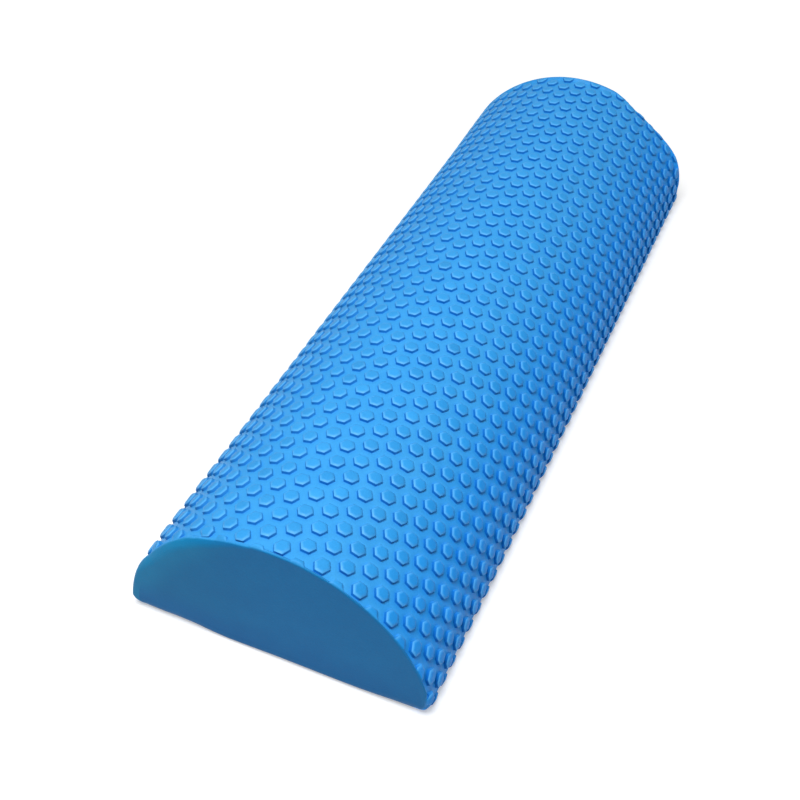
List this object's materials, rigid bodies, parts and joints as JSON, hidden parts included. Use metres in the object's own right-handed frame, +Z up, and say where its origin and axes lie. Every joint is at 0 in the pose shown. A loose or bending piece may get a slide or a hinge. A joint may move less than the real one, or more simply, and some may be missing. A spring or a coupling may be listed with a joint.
{
  "type": "half round foam roller",
  "caption": "Half-round foam log with a studded arched cover, smooth ends and a flat smooth base, for balance, stretching and massage exercises.",
  "frame": {"origin": "centre of the flat base, on the surface that the roller lies on", "axes": "+Y along the roller, +Z up out of the flat base through the arch's crest, +X across"},
  "size_m": [0.1524, 0.45, 0.0765],
  "materials": {
    "studded_foam": "soft closed-cell foam skin, satin, moulded all over with raised hexagons",
    "smooth_foam": "smooth closed-cell foam skin, dull",
    "core_foam": "closed-cell foam, matt, hidden inside"
  },
  "bodies": {
    "root": {"foam_core": "core_foam", "studded_cover": "studded_foam", "base_sheet": "smooth_foam", "near_end_facing": "smooth_foam", "far_end_facing": "smooth_foam"}
  },
  "joints": []
}
